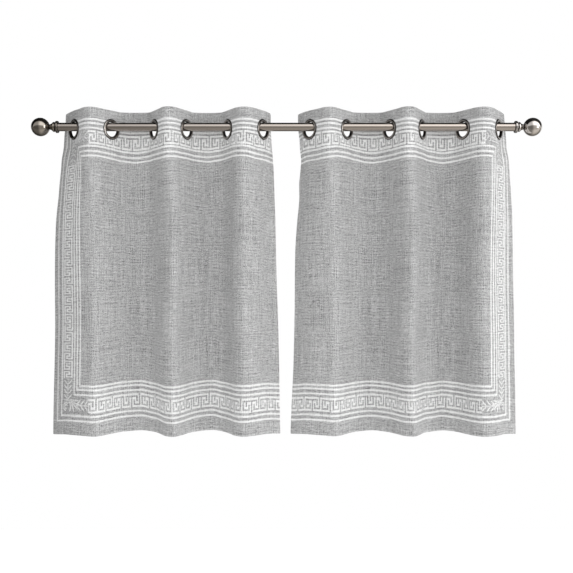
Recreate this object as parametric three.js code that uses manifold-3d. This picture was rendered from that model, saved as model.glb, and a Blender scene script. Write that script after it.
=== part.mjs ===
// A pair of cafe curtain panels on a metal rod.
// Millimetres, +Z up, the front faces -Y. The origin is on the rod's axis at mid length.
// Each panel is one uneven pleated sheet. Twelve two-part eyelets ride on the rod.
import * as THREE from 'three';
import { mergeVertices } from 'three/addons/utils/BufferGeometryUtils.js';
import Module from 'manifold-3d';

const wasm = await Module();
wasm.setup();

// Driving dimensions
const panelDrop = 914;
const panelWidth = 864;
const panelCentreX = 334;
const headAboveRod = 47;
const eyeletPitch = 150;
const eyeletsPerPanel = 6;
const eyeletBelowRod = 7;
const rodRadius = 12;
const rodHalfLength = 654;
const ballRadius = 26;
const fitGap = 0.3;

// Cloth thicknesses: the head, the hem and both side hems are turned double towards the back
const frontSkin = 0.8;
const fieldThickness = 1.5;
const headThickness = 2.2;
const hemThickness = 2.3;
const sideHemThickness = 2.1;
const headBandDepth = 92;
const hemDepth = 48;
const sideHemWidth = 22;
const turnStep = 3;
const cornerDroop = 3;

// Eyelet sizes
const boreRadius = 22;
const barrelRadius = 23.3;
const flangeRadius = 29.3;
const washerRadius = 28.6;
const clothHoleRadius = 25.3;
const washerHeight = 1.5;
const ringSegments = 18;
const flatHalf = 29.6;

// How each eyelet stands on the rod. x is from the panel's centre and turn is in degrees
// from the rod's line. Odd eyelets lead the cloth to the front, even ones to the back.
const eyeletRows = [
  { x: -268, turn: -49 },
  { x: -163, turn: 51 },
  { x: -41, turn: -57 },
  { x: 50, turn: 60 },
  { x: 167, turn: -58 },
  { x: 267, turn: 57 },
];
const edgeTurns = { left: -67, right: 84 };

// Where the folds stand at the hem, from the panel's left edge to its right edge.
// y is before the folds are deepened to take up the whole width of the cloth.
const hemFolds = [
  { part: 'left edge', x: -327, y: 2 },
  { part: 'slope', x: -275, y: -32 },
  { part: 'front fold 1', x: -216, y: -46 },
  { part: 'flank', x: -161, y: -10 },
  { part: 'shoulder', x: -126, y: 34 },
  { part: 'back fold 1', x: -90, y: 46 },
  { part: 'shoulder', x: -48, y: 22 },
  { part: 'flank', x: -31, y: -12 },
  { part: 'shoulder', x: -11, y: -38 },
  { part: 'front fold 2', x: 13, y: -46 },
  { part: 'flank', x: 40, y: -20 },
  { part: 'shoulder', x: 56, y: 22 },
  { part: 'back fold 2', x: 112, y: 47 },
  { part: 'shoulder', x: 152, y: 38 },
  { part: 'flank', x: 168, y: 4 },
  { part: 'shoulder', x: 188, y: -30 },
  { part: 'front fold 3', x: 215, y: -46 },
  { part: 'slope', x: 262, y: -27 },
  { part: 'right edge', x: 315, y: 9 },
];

// How far the cloth has opened from its head shape to its hem shape, by depth below the top
const openingRows = [
  { down: 0, open: 0 },
  { down: 92, open: 0 },
  { down: 146, open: 0.25 },
  { down: 243, open: 0.64 },
  { down: 329, open: 0.82 },
  { down: 487, open: 0.91 },
  { down: 914, open: 1 },
];

// How far each panel's inner edge is drawn back from the middle, by depth below the top
const tuckRows = [
  { down: 0, left: 0, right: 0 },
  { down: 92, left: 0, right: 0 },
  { down: 140, left: 4, right: 9 },
  { down: 250, left: 9, right: 20 },
  { down: 487, left: 8, right: 18 },
  { down: 914, left: 0, right: 10 },
];
const tuckReach = 110;

// Slow sideways and in-and-out sway of the folds below the head, slanting across the cloth
const swayAcross = 2.2;
const swayDepth = 3.2;
const swayWavelength = 520;
const swaySlant = 0.6;

// How finely the plan's curves are worked out before the cloth is measured along them
const crownPoints = 48;
const edgePoints = 12;
const wavePoints = 12;
const solveRounds = 40;

const radians = THREE.MathUtils.degToRad;
const along = (degrees) => new THREE.Vector2(Math.cos(radians(degrees)), Math.sin(radians(degrees)));

function colour(hex, roughness, metalness) {
  return new THREE.MeshStandardMaterial({ color: hex, roughness, metalness });
}

// A curve through points, looked up by the distance along it
function measured(points) {
  const lengths = [0];
  for (let i = 1; i < points.length; i += 1) {
    lengths.push(lengths[i - 1] + points[i].distanceTo(points[i - 1]));
  }
  const total = lengths[lengths.length - 1];
  const at = (distance) => {
    const wanted = THREE.MathUtils.clamp(distance, 0, total);
    let i = 1;
    while (i < lengths.length - 1 && lengths[i] < wanted) i += 1;
    const share = (wanted - lengths[i - 1]) / (lengths[i] - lengths[i - 1]);
    return points[i - 1].clone().lerp(points[i], share);
  };
  return { total, at };
}

// Finds the value that gives the wanted result of a rising function
function solve(rising, wanted, low, high) {
  let bottom = low;
  let top = high;
  for (let i = 0; i < solveRounds; i += 1) {
    const middle = (bottom + top) / 2;
    if (rising(middle) < wanted) bottom = middle;
    else top = middle;
  }
  return (bottom + top) / 2;
}

// The crown of cloth between two eyelets, bulged until it is as long as the cloth there
function crown(start, startTurn, end, endTurn, length) {
  const curve = (reach) => {
    const leave = start.clone().addScaledVector(along(startTurn), reach);
    const arrive = end.clone().addScaledVector(along(endTurn), -reach);
    return new THREE.CubicBezierCurve(start, leave, arrive, end).getPoints(crownPoints);
  };
  const reach = solve((value) => measured(curve(value)).total, length, 2, 120);
  return measured(curve(reach));
}

// A free edge of the head: an even bend from one turn to another
function edgeBend(start, firstTurn, lastTurn, length) {
  const points = [start.clone()];
  for (let i = 0; i < edgePoints; i += 1) {
    const turn = firstTurn + ((lastTurn - firstTurn) * (i + 0.5)) / edgePoints;
    points.push(points[i].clone().addScaledVector(along(turn), length / edgePoints));
  }
  return measured(points);
}

const edgeMargin = (panelWidth - eyeletPitch * (eyeletsPerPanel - 1)) / 2;
const eyeletAlong = eyeletRows.map((row, index) => edgeMargin + index * eyeletPitch);

// The head's plan: straight at the eyelets, crowned between them
function headPlan() {
  const flats = eyeletRows.map((row) => {
    const centre = new THREE.Vector2(row.x, 0);
    const start = centre.clone().addScaledVector(along(row.turn), -flatHalf);
    const end = centre.clone().addScaledVector(along(row.turn), flatHalf);
    return { turn: row.turn, start, end };
  });
  const crownLength = eyeletPitch - 2 * flatHalf;
  const crowns = flats.slice(1).map((next, index) => {
    const last = flats[index];
    return crown(last.end, last.turn, next.start, next.turn, crownLength);
  });
  const edgeLength = edgeMargin - flatHalf;
  const firstFlat = flats[0];
  const lastFlat = flats[flats.length - 1];
  const leftEdge = edgeBend(firstFlat.start, firstFlat.turn + 180, edgeTurns.left + 180, edgeLength);
  const rightEdge = edgeBend(lastFlat.end, lastFlat.turn, edgeTurns.right, edgeLength);
  return (distance) => {
    if (distance < edgeLength) return leftEdge.at(edgeLength - distance);
    const index = Math.min(Math.floor((distance - edgeLength) / eyeletPitch), flats.length - 1);
    const past = distance - edgeLength - index * eyeletPitch;
    const flat = flats[index];
    if (past <= 2 * flatHalf) return flat.start.clone().addScaledVector(along(flat.turn), past);
    if (index === flats.length - 1) return rightEdge.at(past - 2 * flatHalf);
    return crowns[index].at(past - 2 * flatHalf);
  };
}

// The hem's plan: a curve through the folds, deepened until it takes up the cloth's width
function hemPlan() {
  const wave = (depth) => {
    const stops = hemFolds.map((row) => new THREE.Vector3(row.x, depth * row.y, 0));
    const curve = new THREE.CatmullRomCurve3(stops, false, 'centripetal');
    const points = curve.getPoints(wavePoints * hemFolds.length);
    return measured(points.map((point) => new THREE.Vector2(point.x, point.y)));
  };
  return wave(solve((depth) => wave(depth).total, panelWidth, 0.5, 2)).at;
}

// Reads one column of a table at a depth below the top
function readRows(rows, column, down) {
  const next = Math.max(1, rows.findIndex((row) => row.down >= down));
  const [from, to] = [rows[next - 1], rows[next]];
  const share = (down - from.down) / (to.down - from.down);
  return THREE.MathUtils.lerp(from[column], to[column], share);
}

// Sideways draw of the inner edge, fading out towards the nearest fold
function tuckAt(side, distance, down) {
  const fromInner = side === 'left' ? panelWidth - distance : distance;
  const hold = 1 - THREE.MathUtils.smoothstep(fromInner, 0, tuckReach);
  return (side === 'left' ? -1 : 1) * hold * readRows(tuckRows, side, down);
}

const headAt = headPlan();
const hemAt = hemPlan();

// The cloth's plan at a distance from its left edge and a depth below its top
function planAt(side, distance, down) {
  const open = readRows(openingRows, 'open', down);
  const point = headAt(distance).lerp(hemAt(distance), open);
  const sway = (2 * Math.PI * (down + swaySlant * distance)) / swayWavelength;
  const loose = open * (1 - open / 2);
  point.x += loose * swayAcross * Math.sin(sway) + tuckAt(side, distance, down);
  point.y += loose * swayDepth * Math.cos(sway);
  return point;
}

function thicknessAt(distance, down) {
  const sideHem = Math.min(distance, panelWidth - distance) <= sideHemWidth;
  if (down <= headBandDepth) return headThickness;
  if (down >= panelDrop - hemDepth) return hemThickness;
  return sideHem ? sideHemThickness : fieldThickness;
}

function heightAt(distance, down) {
  const fromEdge = Math.min(distance, panelWidth - distance);
  const droop = cornerDroop * THREE.MathUtils.smoothstep(edgeMargin - fromEdge, 0, edgeMargin);
  return headAboveRod - down - droop;
}

// Columns across the cloth: side hems, the flats at the eyelets and the crowns between them
function clothColumns() {
  const columns = [0, sideHemWidth];
  const crownSteps = 5;
  const crownStep = (eyeletPitch - 2 * flatHalf) / crownSteps;
  eyeletAlong.forEach((centre, index) => {
    [-flatHalf, -flatHalf / 3, flatHalf / 3, flatHalf].forEach((offset) => columns.push(centre + offset));
    for (let i = 1; i < crownSteps && index < eyeletsPerPanel - 1; i += 1) {
      columns.push(centre + flatHalf + i * crownStep);
    }
  });
  return [...columns, panelWidth - sideHemWidth, panelWidth];
}

// Rows down the cloth, closer where it opens out below the head
function clothRows() {
  const openSteps = [130, 170, 215, 270, 340, 430, 540, 660, 770];
  const hemTop = panelDrop - hemDepth;
  return [0, headBandDepth, headBandDepth + turnStep, ...openSteps, hemTop - turnStep, hemTop, panelDrop];
}

// Front and back points of the cloth at one place
function clothPair(side, distance, down) {
  const step = 2;
  const before = planAt(side, Math.max(distance - step, 0), down);
  const after = planAt(side, Math.min(distance + step, panelWidth), down);
  const run = after.sub(before).normalize();
  const toFront = new THREE.Vector2(run.y, -run.x);
  const middle = planAt(side, distance, down);
  const front = middle.clone().addScaledVector(toFront, frontSkin);
  const back = middle.clone().addScaledVector(toFront, frontSkin - thicknessAt(distance, down));
  const z = heightAt(distance, down);
  return { front: [front.x, front.y, z], back: [back.x, back.y, z] };
}

function clothSheet(side) {
  const columns = clothColumns();
  const rows = clothRows();
  const across = columns.length;
  const positions = [];
  ['front', 'back'].forEach((face) => {
    rows.forEach((down) => {
      columns.forEach((distance) => positions.push(...clothPair(side, distance, down)[face]));
    });
  });
  const point = (face, row, column) => face * rows.length * across + row * across + column;
  const faces = [];
  const quad = (a, b, c, d) => faces.push(a, b, c, a, c, d);
  for (let row = 1; row < rows.length; row += 1) {
    for (let column = 1; column < across; column += 1) {
      const corners = [[row, column - 1], [row, column], [row - 1, column], [row - 1, column - 1]];
      quad(...corners.map(([r, c]) => point(0, r, c)));
      quad(...corners.map(([r, c]) => point(1, r, c)).reverse());
    }
    [0, across - 1].forEach((column) => {
      const rim = [point(0, row, column), point(0, row - 1, column)];
      rim.push(point(1, row - 1, column), point(1, row, column));
      quad(...(column === 0 ? rim : rim.reverse()));
    });
  }
  for (let column = 1; column < across; column += 1) {
    [0, rows.length - 1].forEach((row) => {
      const rim = [point(0, row, column - 1), point(0, row, column)];
      rim.push(point(1, row, column), point(1, row, column - 1));
      quad(...(row === 0 ? rim : rim.reverse()));
    });
  }
  const geometry = new THREE.BufferGeometry();
  geometry.setAttribute('position', new THREE.Float32BufferAttribute(positions, 3));
  geometry.setIndex(faces);
  return geometry;
}

function toManifold(geometry) {
  const bare = geometry.clone();
  bare.deleteAttribute('normal');
  bare.deleteAttribute('uv');
  const welded = mergeVertices(bare, 1e-4);
  return new wasm.Manifold(new wasm.Mesh({
    numProp: 3,
    vertProperties: new Float32Array(welded.attributes.position.array),
    triVerts: new Uint32Array(welded.index.array),
  }));
}

function fromManifold(solid) {
  const mesh = solid.getMesh();
  const geometry = new THREE.BufferGeometry();
  geometry.setAttribute('position', new THREE.BufferAttribute(mesh.vertProperties, 3));
  geometry.setIndex(new THREE.BufferAttribute(mesh.triVerts, 1));
  geometry.computeVertexNormals();
  return geometry;
}

// Turns a ring's axis, which is +Y in its own frame, to the front side of the cloth
function standOnRod(object, row) {
  object.position.set(row.x, 0, -eyeletBelowRod);
  object.rotation.z = radians(row.turn + 180);
}

function eyeletHole(row) {
  const cutterLength = 12;
  const cutter = new THREE.CylinderGeometry(clothHoleRadius, clothHoleRadius, cutterLength, ringSegments);
  const place = new THREE.Object3D();
  standOnRod(place, row);
  place.updateMatrix();
  return toManifold(cutter.applyMatrix4(place.matrix));
}

function ring(profile) {
  const points = [...profile, profile[0]].map(([radius, height]) => new THREE.Vector2(radius, height));
  return new THREE.LatheGeometry(points, ringSegments);
}

// The front half has the rounded flange and the barrel that passes through the cloth
function eyeletFront() {
  const seat = frontSkin + fitGap;
  const barrelEnd = frontSkin - headThickness - fitGap - washerHeight;
  return ring([
    [boreRadius, barrelEnd],
    [barrelRadius, barrelEnd],
    [barrelRadius, seat],
    [flangeRadius, seat],
    [flangeRadius - 1.4, seat + 2],
    [flangeRadius - 4.2, seat + 2.8],
    [boreRadius, seat + 1.2],
  ]);
}

function eyeletWasher() {
  const seat = frontSkin - headThickness - fitGap;
  return ring([
    [barrelRadius + fitGap, seat - washerHeight],
    [washerRadius - 1.2, seat - washerHeight],
    [washerRadius, seat],
    [barrelRadius + fitGap, seat],
  ]);
}

// A turned piece whose axis runs along X, pointing away from the middle of the rod
function turned(profile, side, segments) {
  const points = profile.map(([radius, height]) => new THREE.Vector2(radius, height));
  return new THREE.LatheGeometry(points, segments).rotateZ((-side * Math.PI) / 2);
}

const finialSegments = 24;
const ballSteps = 9;
const collarRadius = 17;
const collarLength = 7;
const collarEdge = 1.5;
const cupRadius = 14.2;
const finialNeckRadius = 7;
const ballCentre = 44;

// From the rod's end: a cup, its cone down to the neck, and the ball
function finialProfile() {
  const profile = [
    [0, fitGap],
    [cupRadius, fitGap],
    [cupRadius, 2.5],
    [10.5, 5.5],
    [8, 9],
    [finialNeckRadius, 13],
  ];
  const neckAngle = Math.asin(finialNeckRadius / ballRadius);
  for (let i = 0; i < ballSteps; i += 1) {
    const angle = neckAngle + ((Math.PI - neckAngle) * i) / ballSteps;
    profile.push([ballRadius * Math.sin(angle), ballCentre - ballRadius * Math.cos(angle)]);
  }
  profile.push([0, ballCentre + ballRadius]);
  return profile;
}

function collarProfile() {
  const inner = rodRadius + fitGap;
  return [
    [inner, -collarLength],
    [collarRadius - collarEdge, -collarLength],
    [collarRadius, -collarLength + collarEdge],
    [collarRadius, -collarEdge],
    [collarRadius - collarEdge, 0],
    [inner, 0],
    [inner, -collarLength],
  ];
}

const pair = new THREE.Group();

function addMesh(parent, name, geometry, material) {
  const mesh = new THREE.Mesh(geometry, material);
  mesh.name = name;
  parent.add(mesh);
  return mesh;
}

function addPanel(side, centreX) {
  const group = new THREE.Group();
  group.position.x = centreX;
  pair.add(group);
  const holes = eyeletRows.map(eyeletHole);
  const cloth = holes.reduce((solid, hole) => solid.subtract(hole), toManifold(clothSheet(side)));
  addMesh(group, `panel_${side}`, fromManifold(cloth), colour(0xa3a4a6, 0.9, 0));
  eyeletRows.forEach((row, index) => {
    const label = `${side}_${index + 1}`;
    standOnRod(addMesh(group, `eyelet_${label}`, eyeletFront(), colour(0x8f8780, 0.32, 1)), row);
    standOnRod(addMesh(group, `washer_${label}`, eyeletWasher(), colour(0x8f8780, 0.4, 1)), row);
  });
}

function addRod() {
  const bar = new THREE.CylinderGeometry(rodRadius, rodRadius, 2 * rodHalfLength, 24);
  addMesh(pair, 'rod', bar.rotateZ(Math.PI / 2), colour(0x9b9187, 0.3, 1));
}

function addRodEnd(side, name) {
  const finial = turned(finialProfile(), side, finialSegments);
  addMesh(pair, `finial_${name}`, finial, colour(0x9b9187, 0.25, 1)).position.x = side * rodHalfLength;
  const collar = turned(collarProfile(), side, finialSegments);
  addMesh(pair, `collar_${name}`, collar, colour(0x9b9187, 0.25, 1)).position.x = side * rodHalfLength;
}

addPanel('left', -panelCentreX);
addPanel('right', panelCentreX);
addRod();
addRodEnd(-1, 'left');
addRodEnd(1, 'right');

export default pair;
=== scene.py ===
import math

import bpy
import numpy as np
from mathutils import Matrix, Vector


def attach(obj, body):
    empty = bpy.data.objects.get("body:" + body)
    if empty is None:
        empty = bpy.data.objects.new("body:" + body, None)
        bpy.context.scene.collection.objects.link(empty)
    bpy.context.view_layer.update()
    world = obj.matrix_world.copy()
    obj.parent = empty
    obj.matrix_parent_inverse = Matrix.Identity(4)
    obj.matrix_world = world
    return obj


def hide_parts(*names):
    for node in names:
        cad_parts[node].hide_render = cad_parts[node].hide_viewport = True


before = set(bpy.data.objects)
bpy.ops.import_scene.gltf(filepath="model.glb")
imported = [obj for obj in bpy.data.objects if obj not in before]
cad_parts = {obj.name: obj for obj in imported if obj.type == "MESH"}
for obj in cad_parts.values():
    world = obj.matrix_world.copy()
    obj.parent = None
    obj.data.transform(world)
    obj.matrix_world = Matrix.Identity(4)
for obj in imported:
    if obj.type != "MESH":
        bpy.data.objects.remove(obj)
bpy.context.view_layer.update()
sides = ("left", "right")
mm = 0.001  # the tables below are in millimetres, the scene in metres
white = (1, 1, 1, 1)
print("frame loaded:", len(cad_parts), "nodes")


# helpers for meshes and node trees

def placed(name, data):
    item = bpy.data.objects.new(name, data)
    bpy.context.scene.collection.objects.link(item)
    return item


def linkMesh(name, places, faces):
    mesh = bpy.data.meshes.new(name)
    mesh.from_pydata(places, [], faces)
    mesh.update()
    return placed(name, mesh)


def shadeSmooth(mesh, sharp=None):
    mesh.polygons.foreach_set("use_smooth", np.ones(len(mesh.polygons), bool))
    if sharp:
        mesh.set_sharp_from_angle(angle=math.radians(sharp))


class Reading:
    # one node output, with which shader sums are written as plain arithmetic

    def __init__(self, wires, socket):
        self.wires = wires
        self.socket = socket

    def __add__(self, other):
        return self.wires.sum("ADD", self, other)

    def __sub__(self, other):
        return self.wires.sum("SUBTRACT", self, other)

    def __rsub__(self, other):
        return self.wires.sum("SUBTRACT", other, self)

    def __mul__(self, other):
        return self.wires.sum("MULTIPLY", self, other)

    def __truediv__(self, other):
        return self.wires.sum("DIVIDE", self, other)

    def __mod__(self, other):
        return self.wires.sum("FLOORED_MODULO", self, other)

    def __lt__(self, other):
        return self.wires.sum("LESS_THAN", self, other)

    def __gt__(self, other):
        return self.wires.sum("GREATER_THAN", self, other)

    def __abs__(self):
        return self.wires.sum("ABSOLUTE", self)


class Wiring:
    # a short way to place and join nodes in one tree

    def __init__(self, tree):
        self.tree = tree

    def feed(self, socket, value):
        if isinstance(value, Reading):
            self.tree.links.new(value.socket, socket)
        else:
            socket.default_value = value

    def fill(self, node, values):
        # the inputs are given in their order, or by name
        for place, value in values.items() if isinstance(values, dict) else enumerate(values):
            self.feed(node.inputs[place], value)
        return node

    def node(self, kind, values=(), **settings):
        fresh = self.tree.nodes.new(kind)
        for name, value in settings.items():
            setattr(fresh, name, value)
        return self.fill(fresh, values)

    def made(self, kind, values=(), output=0, **settings):
        # the reading of a new node
        return Reading(self, self.node(kind, values, **settings).outputs[output])

    def readAll(self, node):
        return {output.name: Reading(self, output) for output in node.outputs}

    def sum(self, operation, *values):
        return self.made("ShaderNodeMath", values, operation=operation)

    def timesPlus(self, first, second, more):
        return self.sum("MULTIPLY_ADD", first, second, more)

    def foremost(self, operation, values):
        best, *others = values
        for value in others:
            best = self.sum(operation, best, value)
        return best

    def least(self, *values):
        return self.foremost("MINIMUM", values)

    def most(self, *values):
        return self.foremost("MAXIMUM", values)

    def noise(self, place, detail=2.0, roughness=0.5):
        values = {"Vector": place, "Scale": 1.0, "Detail": detail, "Roughness": roughness}
        return self.made("ShaderNodeTexNoise", values, "Fac")

    def stretch(self, place, scale, offset=(0, 0, 0)):
        values = {"Vector": place, "Scale": scale, "Location": offset}
        return self.made("ShaderNodeMapping", values)

    def ranged(self, value, fromLow, fromHigh, toLow, toHigh, clamp=True):
        values = (value, fromLow, fromHigh, toLow, toHigh)
        return self.made("ShaderNodeMapRange", values, clamp=clamp)

    def blend(self, share, first, second, kind="RGBA"):
        values = {"Factor": share, "A": first, "B": second}
        return self.made("ShaderNodeMix", values, "Result", data_type=kind)

    def bump(self, height, strength, distance):
        values = {"Height": height, "Strength": strength, "Distance": distance}
        return self.made("ShaderNodeBump", values)

    def parted(self, vector):
        return self.readAll(self.node("ShaderNodeSeparateXYZ", [vector]))

    def attribute(self, name):
        return self.made("ShaderNodeAttribute", output="Fac", attribute_name=name)

    def group(self, tree, **values):
        return self.readAll(self.node("ShaderNodeGroup", values, node_tree=tree))


def newGroup(name, inputs, outputs, kind="ShaderNodeTree"):
    # every input and output has a name and a kind of socket
    tree = bpy.data.node_groups.new(name, kind)
    for way, rows in (("INPUT", inputs), ("OUTPUT", outputs)):
        for label, socket in rows.items():
            tree.interface.new_socket(name=label, in_out=way, socket_type=f"NodeSocket{socket}")
    wires = Wiring(tree)
    return tree, wires, wires.readAll(wires.node("NodeGroupInput"))


def newMaterial(name, values):
    material = bpy.data.materials.new(name)
    material.use_nodes = True
    wires = Wiring(material.node_tree)
    return material, wires, wires.fill(material.node_tree.nodes["Principled BSDF"], values)


# camera, lights and floor

studio = {
    "camera": (0.0, -2.4, -0.4525), "lens": 53.15, "sensor": 36,
    "floorHeight": -2.3, "floorHalf": 4.0, "floorColour": (0.86, 0.86, 0.86), "floorGlow": 0.56,
    "worldShown": 1.0, "worldSoft": (0.485, 1.02),
    # reflections strengthen between two headings, and the warm ones lose green and blue
    "mirroredSides": (-0.3, 0.2, 0.9, 2.7), "warmLoss": (0, 0.07, 0.2),
}
lamps = [
    # name, place, aim, width, height, power, colour
    ("keyRight", (3.05, -1.8, 0.0), (0.0, 0.0, -0.42), 1.1, 1.65, 27, (1.0, 0.998, 0.995)),
    ("fillFront", (-0.8, -3.1, 0.4), (0.0, 0.0, -0.42), 1.6, 1.8, 21.5, (1.0, 1.0, 1.0)),
]
mirrored = [
    # what the metal sees round about: degrees up from straight ahead, brightness, warmth
    (-180, 0.75, 0.0), (-155, 0.20, 0.5), (-134, 0.12, 0.6), (-92, 0.52, 0.5),
    (-58, 0.62, 0.4), (-30, 0.40, 0.5), (-6, 0.42, 0.3), (8, 0.50, 0.2),
    (19, 1.62, 0.0), (52, 1.62, 0.0), (62, 1.2, 0.0), (72, 0.04, 0.2),
    (96, 0.02, 0.2), (140, 0.03, 0.2), (160, 0.25, 0.1), (180, 0.7, 0.0),
]


def aim(item, place, target):
    item.location = place
    item.rotation_euler = (Vector(target) - Vector(place)).to_track_quat("-Z", "Y").to_euler()


def makeCamera():
    lens = bpy.data.cameras.new("camera")
    lens.lens = studio["lens"]
    lens.sensor_width = studio["sensor"]
    lens.clip_end = 50
    camera = placed("camera", lens)
    aim(camera, studio["camera"], Vector(studio["camera"]) + Vector((0, 1, 0)))
    bpy.context.scene.camera = camera


def makeLamps():
    for name, place, target, width, height, power, colour in lamps:
        light = bpy.data.lights.new(name, "AREA")
        light.shape = "RECTANGLE"
        light.size = width
        light.size_y = height
        light.energy = power
        light.color = colour
        lamp = placed(name, light)
        lamp.visible_glossy = name == "keyRight"
        aim(lamp, place, target)


def makeWorld():
    world = bpy.data.worlds.new("studioAir")
    bpy.context.scene.world = world
    world.use_nodes = True
    world.node_tree.nodes.clear()
    wires = Wiring(world.node_tree)

    def light(colour, strength):
        return wires.made("ShaderNodeBackground", {"Color": colour, "Strength": strength})

    def mixed(factor, first, second):
        return wires.made("ShaderNodeMixShader", (factor, first, second))

    heading = wires.parted(wires.made("ShaderNodeTexCoord", output="Generated"))
    raised = wires.sum("ARCTAN2", heading["Z"], heading["Y"] * -1.0)
    ramp = wires.node("ShaderNodeValToRGB", [wires.timesPlus(raised, 1 / (2 * math.pi), 0.5)])
    while len(ramp.color_ramp.elements) < len(mirrored):
        ramp.color_ramp.elements.new(0.5)
    for element, (degrees, bright, warm) in zip(ramp.color_ramp.elements, mirrored):
        element.position = degrees / 360 + 0.5
        element.color = (*(bright / 2 * (1 - loss * warm) for loss in studio["warmLoss"]), 1)
    around = light(Reading(wires, ramp.outputs[0]), wires.ranged(heading["X"], *studio["mirroredSides"]))
    soft = light(white, wires.ranged(heading["X"], -1, 1, *studio["worldSoft"]))
    path = wires.readAll(wires.node("ShaderNodeLightPath"))
    unseen = mixed(path["Is Glossy Ray"], soft, around)
    seen = mixed(path["Is Camera Ray"], unseen, light(white, studio["worldShown"]))
    wires.node("ShaderNodeOutputWorld", {"Surface": seen})


def makeFloor():
    half, low = studio["floorHalf"], studio["floorHeight"]
    corners = [(-half, -half, low), (half, -half, low), (half, half, low), (-half, half, low)]
    floor = linkMesh("floor", corners, [(0, 1, 2, 3)])
    floor.visible_glossy = False
    pale, _, _ = newMaterial("paleFloor", {
        "Base Color": (*studio["floorColour"], 1), "Roughness": 0.7,
        "Emission Color": white, "Emission Strength": studio["floorGlow"]})
    floor.data.materials.append(pale)


makeCamera()
makeLamps()
makeWorld()
makeFloor()
bpy.context.scene.view_settings.view_transform = "Standard"
print("camera, lamps and floor placed")


# the cloth's shape

cloth = {
    "width": 864, "drop": 914, "headAboveRod": 47, "centreX": 334, "cornerDroop": 3,
    "eyeletPitch": 150, "flatHalf": 29.6, "eyeletDown": 54, "holeRadius": 25.5,
    "frontSkin": 0.8, "field": 1.5, "head": 2.2, "hem": 2.3, "sideHem": 2.1,
    "headBand": 92, "hemDepth": 48, "sideHemWidth": 22, "turnStep": 3,
    "columns": 202, "rows": 200, "headRows": (4, 52, 12),  # the head's rows: first, last and how many
    "edgeRound": 1.2, "edgeStops": (0.4, 1.2), "edgeLeast": 0.04,
}
hemHang, hemRelease = 3.0, 0.6  # how far the hem drops, and the share of its lift that is lost there
eyeletRows = [
    {"x": -268, "turn": -49},
    {"x": -163, "turn": 51},
    {"x": -41, "turn": -57},
    {"x": 50, "turn": 60},
    {"x": 167, "turn": -58},
    {"x": 267, "turn": 57},
]
edgeTurns = {"left": -67, "right": 84}
hemFolds = [
    # x and y of the hem's line: the left edge, its curl and the slope
    (-331, 18), (-302, -4), (-264, -25), (-231, -38),
    # front fold 1 and round to back fold 1
    (-199, -48), (-166, -14), (-142, 17), (-114, 36), (-84, 46), (-46, 26), (-22, -8), (-2, -36),
    # front fold 2 and round to back fold 2
    (19, -47), (43, -14), (62, 18), (88, 37), (117, 47), (152, 35), (173, 4), (192, -32),
    # front fold 3, the curl and the right edge
    (214, -47), (250, -34), (286, 0), (297, 11), (317, 16),
]
openingRows = [
    # depth below the top, share opened from the head's shape to the hem's
    (0, 0), (92, 0), (146, 0.25), (243, 0.64), (329, 0.82), (487, 0.91), (914, 1),
]
tuckRows = [
    # depth, how far the left and the right panel's inner edge is drawn back
    (0, 0, 0), (92, 0, 0), (140, 4, 9), (250, 9, 20), (487, 8, 18), (914, 0, 10),
]
tuckReach = 110
hemLift = {
    # distance along the cloth and how far the lower cloth rides up there
    "left": [(0, -3), (60, -0.5), (100, 0), (140, 0), (194, 2), (255, 4.3), (300, 4.7), (340, 0.5),
             (378, -0.5), (431, -3), (480, -2), (520, 0), (573, 4.8), (598, 5.6), (630, 1), (690, 0.6),
             (740, 1), (800, 3.2), (864, 2.2)],
    "right": [(0, 0), (60, 2.8), (95, 3.6), (142, 2.8), (235, 2.2), (285, 3.4), (342, 2), (380, 1.2),
              (425, -0.4), (480, 0.5), (553, 0.2), (592, 3), (628, 0.3), (690, -0.4), (740, 0), (820, 0),
              (864, -1.2)],
}
headLift = {
    # the same just below the eyelets: the cloth sags between them
    "left": [(0, 2), (165, 2), (208, 0), (249, -3.7), (283, -6.2), (319, -2), (352, -0.6), (410, -2),
             (444, 0), (510, 1.7), (548, 0), (582, -3), (610, 0.5), (647, 3), (684, 4), (734, 2),
             (776, -2.8), (864, -2.8)],
    "right": [(0, -5), (81, -4.8), (127, -1.7), (172, 3.4), (201, 3.7), (253, 0), (271, -4), (297, -5.8),
              (324, -3.4), (375, -2.4), (442, 0), (525, 2.6), (553, -0.9), (589, -6.2), (623, -2.6),
              (670, 0), (732, 2.2), (864, 2.2)],
}
liftRows = {"hem": (250, 800), "hang": (878, 914), "headOn": (44, 118), "headOff": (170, 420)}
edgeDrift = [
    # depth, how far outwards the free edges lean: the left panel's outer and inner edge,
    # then the right panel's inner and outer edge
    (0, 1.5, -5, -1.5, 3), (30, 3, -5, -1.5, 5), (75, 6.5, -3, -6, 8.5), (120, 8.5, 0, -8, 10),
    (160, 5.5, 0, -5, 6.5), (200, 3, 0, -1, 3), (250, 0, 0, -3, 1), (400, 0, 0, 0, 0),
    (700, 0, 0, 0, 0), (800, 0, 0, 0, 3), (914, 0, 0, 0, 5.5),
]
driftReach, driftRows = (29, 75), (84, 190)
sway = {"across": 2.2, "depth": 3.2, "wavelength": 520, "slant": 0.6}
probe = 1.5  # how far apart the cloth is felt for its direction
edgeMargin = (cloth["width"] - cloth["eyeletPitch"] * (len(eyeletRows) - 1)) / 2
eyeletAlong = [edgeMargin + cloth["eyeletPitch"] * i for i in range(len(eyeletRows))]


def heading(turn):
    return np.stack([np.cos(np.radians(turn)), np.sin(np.radians(turn))], -1)


def distances(points):
    return np.concatenate([[0], np.cumsum(np.linalg.norm(np.diff(points, axis=0), axis=1))])


def solveFor(rising, wanted, low, high):
    for _ in range(40):
        middle = (low + high) / 2
        low, high = (middle, high) if rising(middle) < wanted else (low, middle)
    return (low + high) / 2


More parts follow.
